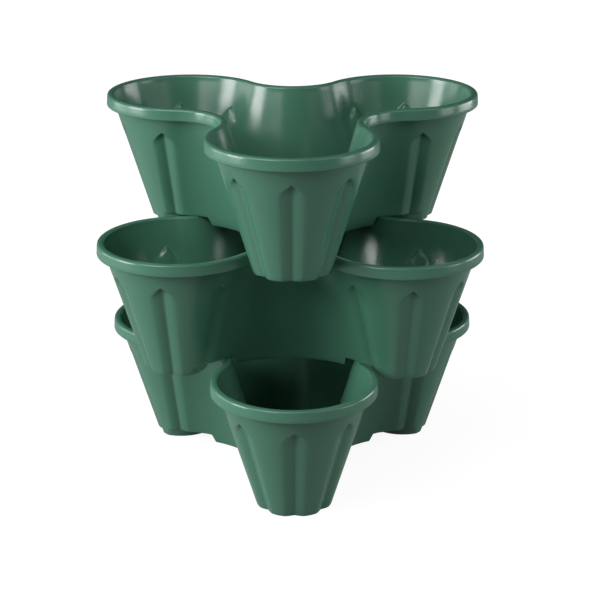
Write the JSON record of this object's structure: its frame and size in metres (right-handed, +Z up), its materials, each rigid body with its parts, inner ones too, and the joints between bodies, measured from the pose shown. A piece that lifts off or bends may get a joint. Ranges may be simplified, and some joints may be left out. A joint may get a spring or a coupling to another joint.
{
  "type": "vertical planter tower",
  "caption": "Free-standing planter tower of stacked three-lobed plastic pots, each turned against the one below so that every lobe stays open for a plant.",
  "frame": {"origin": "on the axis of the bottom pot, in the plane of its underside, where it stands on the floor", "axes": "+Z up along the tower; the bottom pot points one lobe along -Y, which is the front"},
  "size_m": [0.3587, 0.3862, 0.3475],
  "materials": {
    "green_plastic": "semi-gloss moulded"
  },
  "bodies": {
    "bottom_pot": {"bottom_pot": "green_plastic"},
    "middle_pot": {"middle_pot": "green_plastic"},
    "top_pot": {"top_pot": "green_plastic"}
  },
  "joints": [
    {"name": "middle_lift", "type": "slide", "parent": "bottom_pot", "child": "middle_pot", "axis": [0, 0, 1], "range_m": [0, 0.15]},
    {"name": "top_lift", "type": "slide", "parent": "middle_pot", "child": "top_pot", "axis": [0, 0, 1], "range_m": [0, 0.15]}
  ]
}
